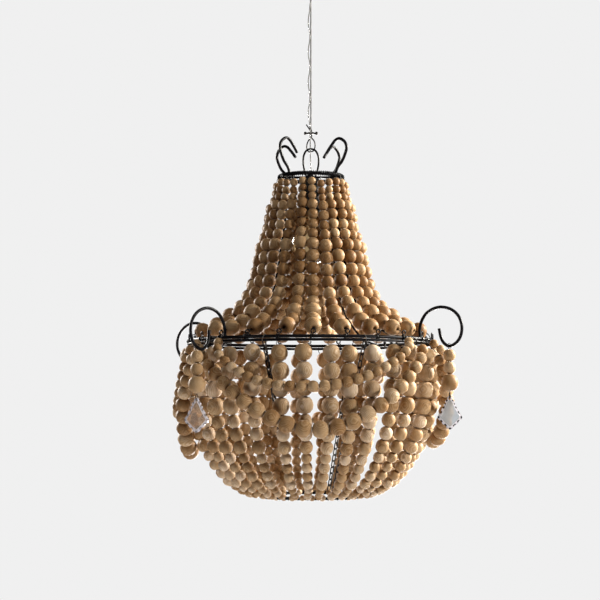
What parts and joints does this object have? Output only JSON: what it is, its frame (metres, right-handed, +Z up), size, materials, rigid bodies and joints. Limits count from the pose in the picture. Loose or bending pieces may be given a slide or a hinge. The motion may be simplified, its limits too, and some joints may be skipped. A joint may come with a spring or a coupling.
{
  "type": "beaded chandelier",
  "caption": "Chandelier of turned wooden bead strings on a dark wire frame, with draped bead swags and cut crystal drops, hung on a steel cable from a small ceiling rose.",
  "frame": {"origin": "centre of the ceiling rose's flat top, where it meets the ceiling", "axes": "+Z up, -Y towards the viewer, +X to the viewer's right"},
  "size_m": [0.431, 0.4256, 0.8281],
  "materials": {
    "dark_wire": "satin, near black, slightly uneven",
    "dark_painted_metal": "satin, near black",
    "turned_wood": "bare, dry, fine grain",
    "cut_crystal": "polished, faceted",
    "steel": "plain, slightly dull",
    "clear_flex": "smooth, pale, half clear",
    "bulb_glass": "frosted",
    "holder_plastic": "matt, near black"
  },
  "bodies": {
    "ceiling_fixing": {"ceiling_rose": "dark_painted_metal", "ceiling_hook": "dark_wire"},
    "suspension": {"cable": "steel", "cable_ferrule": "steel", "cable_clamp": "steel", "flex": "clear_flex"},
    "frame": {"bail": "dark_wire", "crossbar": "dark_wire", "holder_nut": "dark_wire", "bulb_holder": "holder_plastic", "bulb": "bulb_glass", "flex_lower": "clear_flex", "top_ring": "dark_wire", "main_ring": "dark_wire", "strand_ring": "dark_wire", "bottom_ring": "dark_wire", "crown_scroll_front_left": "dark_wire", "crown_scroll_front_right": "dark_wire", "crown_scroll_back_right": "dark_wire", "crown_scroll_back_left": "dark_wire", "rib_1": "dark_wire", "rib_2": "dark_wire", "rib_3": "dark_wire", "rib_4": "dark_wire", "main_scroll_front_left": "dark_wire", "main_scroll_front_right": "dark_wire", "main_scroll_back_right": "dark_wire", "main_scroll_back_left": "dark_wire", "upper_strings_1": "turned_wood", "upper_strings_2": "turned_wood", "upper_strings_3": "turned_wood", "upper_strings_4": "turned_wood", "lower_strings_1": "turned_wood", "lower_strings_2": "turned_wood", "lower_strings_3": "turned_wood", "lower_strings_4": "turned_wood", "lower_strings_5": "turned_wood", "lower_strings_6": "turned_wood", "lower_strings_7": "turned_wood", "lower_strings_8": "turned_wood", "chain_front_left": "steel", "chain_front_right": "steel", "chain_back_right": "steel", "chain_back_left": "steel"},
    "drop_front_left": {"drop_front_left": "turned_wood"},
    "crystal_front_left": {"crystal_front_left": "cut_crystal"},
    "drop_front_right": {"drop_front_right": "turned_wood"},
    "crystal_front_right": {"crystal_front_right": "cut_crystal"},
    "drop_back_right": {"drop_back_right": "turned_wood"},
    "crystal_back_right": {"crystal_back_right": "cut_crystal"},
    "drop_back_left": {"drop_back_left": "turned_wood"},
    "crystal_back_left": {"crystal_back_left": "cut_crystal"},
    "swags_front": {"swag_upper_front": "turned_wood", "swag_lower_front": "turned_wood"},
    "swags_right": {"swag_upper_right": "turned_wood", "swag_lower_right": "turned_wood"},
    "swags_back": {"swag_upper_back": "turned_wood", "swag_lower_back": "turned_wood"},
    "swags_left": {"swag_upper_left": "turned_wood", "swag_lower_left": "turned_wood"}
  },
  "joints": [
    {"name": "cable_swing", "type": "hinge", "parent": "ceiling_fixing", "child": "suspension", "pos_m": [0, 0, -0.042], "axis": [0, 1, 0], "range_deg": [-15, 15]},
    {"name": "frame_swing", "type": "hinge", "parent": "suspension", "child": "frame", "pos_m": [0, 0, -0.3035], "axis": [1, 0, 0], "range_deg": [-15, 15]},
    {"name": "drop_front_left_swing", "type": "hinge", "parent": "frame", "child": "drop_front_left", "pos_m": [-0.15761, -0.17815, -0.61007], "axis": [-0.6626, -0.749, 0], "range_deg": [-25, 25]},
    {"name": "crystal_front_left_swing", "type": "hinge", "parent": "drop_front_left", "child": "crystal_front_left", "pos_m": [-0.15761, -0.17815, -0.6845], "axis": [-0.2588, -0.9659, 0], "range_deg": [-25, 25]},
    {"name": "drop_front_right_swing", "type": "hinge", "parent": "frame", "child": "drop_front_right", "pos_m": [0.19646, -0.11805, -0.60667], "axis": [0.8572, -0.515, 0], "range_deg": [-25, 25]},
    {"name": "crystal_front_right_swing", "type": "hinge", "parent": "drop_front_right", "child": "crystal_front_right", "pos_m": [0.19646, -0.11805, -0.6811], "axis": [0, -1, 0], "range_deg": [-25, 25]},
    {"name": "drop_back_right_swing", "type": "hinge", "parent": "frame", "child": "drop_back_right", "pos_m": [0.14733, 0.17558, -0.60667], "axis": [0.6428, 0.766, 0], "range_deg": [-25, 25]},
    {"name": "crystal_back_right_swing", "type": "hinge", "parent": "drop_back_right", "child": "crystal_back_right", "pos_m": [0.14733, 0.17558, -0.6811], "axis": [0.5, 0.866, 0], "range_deg": [-25, 25]},
    {"name": "drop_back_left_swing", "type": "hinge", "parent": "frame", "child": "drop_back_left", "pos_m": [-0.19844, 0.124, -0.61933], "axis": [-0.848, 0.5299, 0], "range_deg": [-25, 25]},
    {"name": "crystal_back_left_swing", "type": "hinge", "parent": "drop_back_left", "child": "crystal_back_left", "pos_m": [-0.19844, 0.124, -0.69376], "axis": [-0.866, -0.5, 0], "range_deg": [-25, 25]},
    {"name": "swags_front_lift", "type": "hinge", "parent": "frame", "child": "swags_front", "pos_m": [0.00201, -0.12428, -0.595], "axis": [-0.9999, -0.0145, 0], "range_deg": [0, 20]},
    {"name": "swags_right_lift", "type": "hinge", "parent": "frame", "child": "swags_right", "pos_m": [0.14671, 0.02455, -0.595], "axis": [0.165, -0.9863, 0], "range_deg": [0, 20]},
    {"name": "swags_back_lift", "type": "hinge", "parent": "frame", "child": "swags_back", "pos_m": [-0.02045, 0.12915, -0.595], "axis": [0.9877, 0.1564, 0], "range_deg": [0, 20]},
    {"name": "swags_left_lift", "type": "hinge", "parent": "frame", "child": "swags_left", "pos_m": [-0.15746, -0.00978, -0.595], "axis": [-0.0617, 0.9981, 0], "range_deg": [0, 20]}
  ]
}
